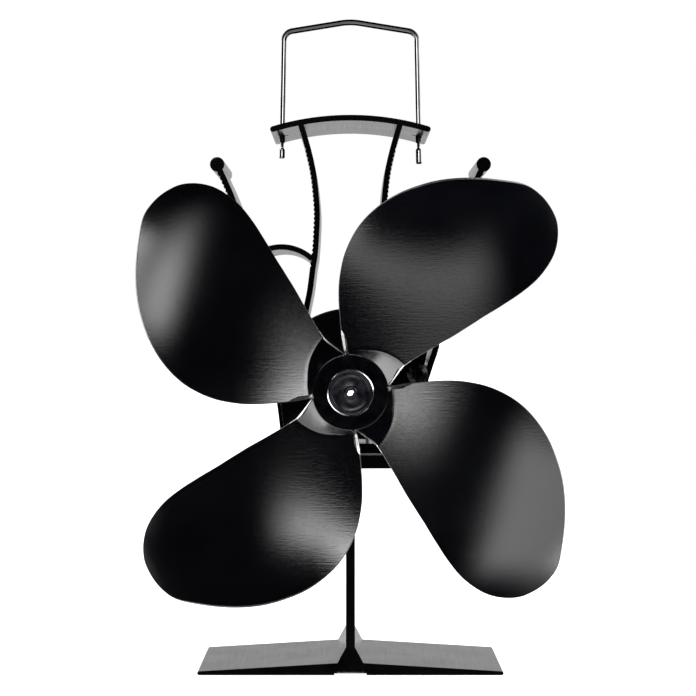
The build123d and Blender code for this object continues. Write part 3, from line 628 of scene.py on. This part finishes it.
def make_propeller():
    NQ, NR = 32, 56                     # columns across a blade, rows along it
    s_pts = [plan_point(r, s) for r, s, e in OUTLINE]
    e_pts = [plan_point(13.15, 98.0), plan_point(16.4, 98.5)] + [plan_point(r, e) for r, s, e in OUTLINE]
    loop = smooth_curve(s_pts + [plan_point(TIP_R, TIP_A)] + e_pts[::-1])
    run = lengths(loop)
    even = [sample(loop, run, run[-1] * i / 900) for i in range(901)]
    even = relax(even, 60)
    run = lengths(even)
    tip = plan_point(TIP_R, TIP_A)
    k_tip = min(range(901), key=lambda i: (even[i][0] - tip[0]) ** 2 + (even[i][1] - tip[1]) ** 2)
    d_tip, total = run[k_tip], run[-1]
    CAP = 21.0                          # length of edge each side of the tip that closes the blade
    d_s, d_e = d_tip - CAP, d_tip + CAP

    def side_s(f):
        return sample(even, run, d_s * f)

    def side_e(f):
        return sample(even, run, total - (total - d_e) * f)

    def cap(q):
        return sample(even, run, d_s + (d_e - d_s) * q)

    qs = [i / NQ for i in range(NQ + 1)]
    crease = []
    for q in qs:
        t = 26.1 + (98.0 - 26.1) * q
        crease.append(plan_point(crease_r(t), t))

    def blade_plan(i, f):
        """Plan point of the blade between its four edges."""
        q = qs[i]
        S, E, C0, C1 = side_s(f), side_e(f), crease[i], cap(q)
        out = []
        for a in range(2):
            v = (1 - f) * C0[a] + f * C1[a] + (1 - q) * S[a] + q * E[a]
            v -= (1 - f) * (1 - q) * crease[0][a] + (1 - f) * q * crease[-1][a]
            v -= f * (1 - q) * cap(0.0)[a] + f * q * cap(1.0)[a]
            out.append(v)
        return tuple(out)

    A0, A1 = 5.2, 94.5                  # rim angles that one quadrant spans
    RIM_B, CR_B = 0.22, 0.40            # lengths of the two bends
    columns = []                        # per column, the section from the disc outwards, as (x, depth, z)
    for i, q in enumerate(qs):
        ang = A0 + (A1 - A0) * q
        flat = [plan_point(r, ang) for r in (4.25, 7.6, 9.6, 10.9, DISC_R - RIM_B)]
        col = [(p[0], 0.0, p[1]) for p in flat]
        rim = plan_point(DISC_R, ang)
        R0 = (rim[0], 0.0, rim[1])
        c = crease[i]
        C = (c[0], depth_at(*c), c[1])
        wall = math.dist(R0, C)
        near = lerp(R0, C, RIM_B / wall)
        for k in (1, 2, 3, 4):
            s = k / 4
            a, b = lerp(col[4], R0, s), lerp(R0, near, s)
            col.append(lerp(a, b, s))
        far = lerp(R0, C, 1 - CR_B / wall)
        for s in (0.2, 0.4, 0.6, 0.8, 1.0):
            col.append(lerp(near, far, s))
        # first blade row beyond the bend
        f1 = 0.0065
        p = blade_plan(i, f1)
        B = (p[0], depth_at(*p), p[1])
        for k in (1, 2, 3, 4):
            s = k / 4
            a, b = lerp(far, C, s), lerp(C, B, s)
            col.append(lerp(a, b, s))
        for j in range(1, NR + 1):
            f = f1 + (1 - f1) * (j / NR)
            p = blade_plan(i, f)
            col.append((p[0], depth_at(*p), p[1]))
        columns.append(col)

    rows_n = len(columns[0])
    verts, faces = [], []
    grid = []
    for k in range(4):
        c, s = math.cos(math.radians(90 * k)), math.sin(math.radians(90 * k))
        ids = []
        for col in columns:
            line = []
            for x, d, z in col:
                verts.append(Vector((x * c - z * s, d, x * s + z * c)))
                line.append(len(verts) - 1)
            ids.append(line)
        grid.append(ids)
        for i in range(NQ):
            for j in range(rows_n - 1):
                faces.append((ids[i][j], ids[i + 1][j], ids[i + 1][j + 1], ids[i][j + 1]))
    for k in range(4):
        a, b = grid[k][NQ], grid[(k + 1) % 4][0]
        for j in range(8):
            faces.append((a[j], b[j], b[j + 1], a[j + 1]))

    me = bpy.data.meshes.new("front_faces")
    me.from_pydata([tuple(v) for v in verts], [], faces)
    bm = bmesh.new()
    bm.from_mesh(me)
    bmesh.ops.recalc_face_normals(bm, faces=bm.faces)
    if sum(f.normal.y * f.calc_area() for f in bm.faces) > 0:
        bmesh.ops.reverse_faces(bm, faces=bm.faces)
    bm.normal_update()
    bm.verts.ensure_lookup_table()
    T = SHEET_T
    normal = [v.normal.copy() for v in bm.verts]
    front = [v.co.copy() for v in bm.verts]
    order = [[v.index for v in f.verts] for f in bm.faces]
    after = {}
    for f in bm.faces:
        for lp in f.loops:
            if len(lp.edge.link_faces) == 1:
                after[lp.vert.index] = lp.link_loop_next.vert.index
    bm.free()
    bpy.data.meshes.remove(me)
    # the closed edge loops of the sheet: its outline and its bore
    loops = []
    while after:
        v, ring = next(iter(after)), []
        while v in after:
            ring.append(v)
            v = after.pop(v)
        loops.append(ring)
    out_v = list(front)
    back_of = {}
    for i, p in enumerate(front):
        out_v.append(p - normal[i] * T)
        back_of[i] = len(out_v) - 1
    out_f = [tuple(f) for f in order] + [tuple(back_of[i] for i in reversed(f)) for f in order]
    mat_i = [0] * len(out_f)
    sharp = set()
    for ring in loops:
        n = len(ring)
        rad = sum(math.hypot(front[i].x, front[i].z) for i in ring) / n
        hole = rad < 6.0
        strips = [[], [], [], []]
        near_hub = []
        for j, i in enumerate(ring):
            p = front[i]
            tangent = (front[ring[(j + 1) % n]] - front[ring[j - 1]]).normalized()
            m = tangent.cross(normal[i]).normalized()
            if hole:
                m = Vector((-p.x, 0, -p.z)).normalized()
            r = math.hypot(p.x, p.z)
            c = 0.12 + 0.66 * min(1.0, max(0.0, (19.6 - r) / 1.2))
            strips[0].append(i)
            near_hub.append(r < 21.0)
            base = p.copy()
            out_v[i] = base - m * c
            out_v.append(base - normal[i] * c)
            strips[1].append(len(out_v) - 1)
            out_v.append(base - normal[i] * (T - 0.12))
            strips[2].append(len(out_v) - 1)
            out_v[back_of[i]] = base - m * 0.12 - normal[i] * T
            strips[3].append(back_of[i])
        for a, b in zip(strips, strips[1:]):
            for j in range(n):
                k = (j + 1) % n
                out_f.append((a[k], a[j], b[j], b[k]))
                # sheared edges by the hub take the bright copy (painted highlight), the rest take the darkened copy
                # (painted shade)
                mat_i.append(1 if near_hub[j] else 2)
        for st in strips:
            for j in range(n):
                sharp.add(tuple(sorted((st[j], st[(j + 1) % n]))))
    pts = []
    for v in out_v:
        k = 1 - 0.0026 * min(1.0, max(0.0, (math.hypot(v.x, v.z) - 30.0) / 30.0))
        pts.append(P(v.x * k, DISC_Y + v.y, AXIS_Z + v.z * k))
    ob = mesh_object("propeller_sheet", pts, out_f, "rotor", [MAT["black_blade"], HUB_EDGE_PAINTED_HIGHLIGHT, OUTER_EDGE_PAINTED_SHADE, DISC])
    me = ob.data
    me.polygons.foreach_set("material_index", mat_i)
    # front faces of the hub disc take the darker copy: painted shade
    for p in me.polygons:
        c = p.center
        if p.material_index == 0 and p.normal.y < -0.98 and math.hypot(c.x, c.z - AXIS_Z * MM) < (DISC_R - 0.2) * MM:
            p.material_index = 3
    for e in me.edges:
        if tuple(sorted(e.vertices)) in sharp:
            e.use_edge_sharp = True
    uvl = me.uv_layers.new(name="sheet")
    for lp in me.loops:
        co = me.vertices[lp.vertex_index].co
        uvl.data[lp.index].uv = ((co.z - 0.0935) * 5 + 0.5, co.x * 5 + 0.5)
    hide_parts("propeller")
    return ob


propeller = make_propeller()


# ------------------------------------------------------------------- hub collar
def lathe(name, profile, body, mats, y_dir=1, segments=96, ring_mats=None, cx=0.0, cz=AXIS_Z):
    """Turned piece about the motor axis. profile is (radius, y) points in mm."""
    verts, faces, which = [], [], []
    for r, y in profile:
        for i in range(segments):
            a = 2 * math.pi * i / segments
            verts.append(P(cx + r * math.cos(a), y, cz + r * math.sin(a)))
    n = len(profile)
    for j in range(n - 1):
        for i in range(segments):
            k = (i + 1) % segments
            faces.append((j * segments + i, j * segments + k, (j + 1) * segments + k, (j + 1) * segments + i))
            which.append(ring_mats[j] if ring_mats else 0)
    ob = mesh_object(name, verts, faces, body, mats)
    for p, w in zip(ob.data.polygons, which):
        p.material_index = w
    bm = bmesh.new()
    bm.from_mesh(ob.data)
    bmesh.ops.remove_doubles(bm, verts=bm.verts, dist=1e-7)
    bmesh.ops.recalc_face_normals(bm, faces=bm.faces)
    bm.to_mesh(ob.data)
    bm.free()
    return ob


hub_profile = [
    (1.02, -61.40), (1.02, -62.35), (1.2, -62.48), (1.75, -62.48), (1.95, -62.30), (1.98, -61.65), (2.3, -61.52),
    (4.6, -61.52), (5.6, -61.58), (6.05, -61.80), (6.35, -62.25), (6.55, -62.45), (6.75, -62.50),
    (7.06, -62.50), (7.38, -62.18), (7.4, -62.10), (7.4, -57.52), (4.2, -57.52), (4.2, -42.90), (3.9, -42.50), (1.02, -42.50), (1.02, -61.40)]
ring_mats = [0] * (len(hub_profile) - 1)
ring_mats[13] = 1
hub = lathe("hub_collar", hub_profile, "rotor", [MAT["hub_black"], CHAMFER], ring_mats=ring_mats)
bvl = hub.modifiers.new("edge", "BEVEL")
bvl.width = 0.06 * MM
bvl.segments = 2
bvl.limit_method = "ANGLE"
bvl.angle_limit = math.radians(40)
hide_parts("propeller_hub")


# ----------------------------------------------------------------------- handle
def fillet_path(pts, radii, step=0.7):
    """Points along straight runs joined by tangent arcs, in the XZ plane."""
    out = [pts[0]]
    for i in range(1, len(pts) - 1):
        a, b, c = Vector(pts[i - 1]), Vector(pts[i]), Vector(pts[i + 1])
        d1, d2 = (a - b).normalized(), (c - b).normalized()
        half = d1.angle(d2) / 2
        R = radii[i - 1]
        tl = R / math.tan(half)
        p1, p2 = b + d1 * tl, b + d2 * tl
        centre = b + (d1 + d2).normalized() * (R / math.sin(half))
        v1, v2 = p1 - centre, p2 - centre
        turn = v1.angle(v2)
        n = max(6, int(R * turn / step))
        cross = v1.x * v2.y - v1.y * v2.x
        sgn = 1 if cross > 0 else -1
        for k in range(n + 1):
            w = sgn * turn * k / n
            out.append((centre.x + v1.x * math.cos(w) - v1.y * math.sin(w), centre.y + v1.x * math.sin(w) + v1.y * math.cos(w)))
    out.append(pts[-1])
    # split the long straight runs
    fine = [out[0]]
    for a, b in zip(out, out[1:]):
        d = math.hypot(b[0] - a[0], b[1] - a[1])
        m = max(1, int(d / 0.35)) if d > 1.2 else 1
        for k in range(1, m + 1):
            fine.append((a[0] + (b[0] - a[0]) * k / m, a[1] + (b[1] - a[1]) * k / m))
    return fine


def leg_x(z):
    return 23.35 + (22.5 - 23.35) * (z - 170.0) / (214.6 - 170.0)


def make_handle():
    pts = [(-leg_x(171.7), 171.7), (-22.5, 214.6), (0.0, 218.25), (22.5, 214.6), (leg_x(169.8), 169.8)]
    line = fillet_path(pts, [3.2, 20.0, 3.2])
    seg = 28
    verts, faces = [], []
    NECK = 176.0

    def ring_at(i, scale_n, scale_y, shift=0.0):
        a = line[max(i - 1, 0)]
        b = line[min(i + 1, len(line) - 1)]
        tx, tz = b[0] - a[0], b[1] - a[1]
        m = math.hypot(tx, tz)
        tx, tz = tx / m, tz / m
        nx, nz = -tz, tx
        x, z = line[i][0] + tx * shift, line[i][1] + tz * shift
        ids = []
        for k in range(seg):
            w = 2 * math.pi * k / seg
            c, s = math.cos(w) * scale_n, math.sin(w) * scale_y
            verts.append(P(x + nx * c, s, z + nz * c))
            ids.append(len(verts) - 1)
        return ids

    rings = []
    end = [(0.35, 0.0), (0.8, 0.06), (1.0, 0.3)]
    for s, d in end:
        rings.append(ring_at(0, s, s, d))
    for i in range(2, len(line) - 2):
        z = line[i][1]
        sn = sy = 1.0
        if z < 190:
            t = abs(z - NECK) / 1.15
            if t < 1:
                w = (1 - t * t) ** 0.5
                w = min(1.0, w * 1.4)
                sn = 1 - 0.45 * w
                sy = 1 + 0.63 * w
        rings.append(ring_at(i, sn, sy))
    for s, d in reversed(end):
        rings.append(ring_at(len(line) - 1, s, s, -d))
    for a, b in zip(rings, rings[1:]):
        for k in range(seg):
            j = (k + 1) % seg
            faces.append((a[k], a[j], b[j], b[k]))
    faces.append(tuple(rings[0][::-1]))
    faces.append(tuple(rings[-1]))
    ob = mesh_object("wire_handle", verts, faces, "handle", [MAT["chrome_wire"], wire_painted_shade()])
    # the wire just under the arch gets the darkened copy: painted shade
    for p in ob.data.polygons:
        if NECK - 0.4 < p.center.z / MM < 183.2:
            p.material_index = 1
    bm = bmesh.new()
    bm.from_mesh(ob.data)
    bmesh.ops.recalc_face_normals(bm, faces=bm.faces)
    bm.to_mesh(ob.data)
    bm.free()
    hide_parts("handle")
    return ob


handle = make_handle()
wire_only = bpy.data.collections.new("wire_only")
wire_only.objects.link(handle)
shaft_only = bpy.data.collections.new("shaft_only")
shaft_only.objects.link(nodes["motor_shaft"])
WIRE_FRONT.light_linking.receiver_collection = wire_only
WIRE_LOW.light_linking.receiver_collection = wire_only
SHAFT_FILL.light_linking.receiver_collection = shaft_only


# ------------------------------------------------------------------------ floor
def floor_material():
    m = Tree("mat_floor", (0.88, 0.88, 0.88), 0.0, 0.75, 0.2)
    n = m.noise(size=6.0, detail=3.0)
    m.link(m.mix(m.remap(n, 0.0, 1.0), (0.87, 0.87, 0.87), (0.90, 0.90, 0.90)), m.bsdf.inputs["Base Color"])
    m.bsdf.inputs["Emission Color"].default_value = (1, 1, 1, 1)
    m.bsdf.inputs["Emission Strength"].default_value = 0.9
    return m.mat


bpy.ops.mesh.primitive_plane_add(size=60.0, location=(0, 0, 0))
floor = bpy.context.object
floor.name = "studio_floor"
floor.data.materials.append(floor_material())
floor.visible_glossy = False
floor.visible_shadow = False
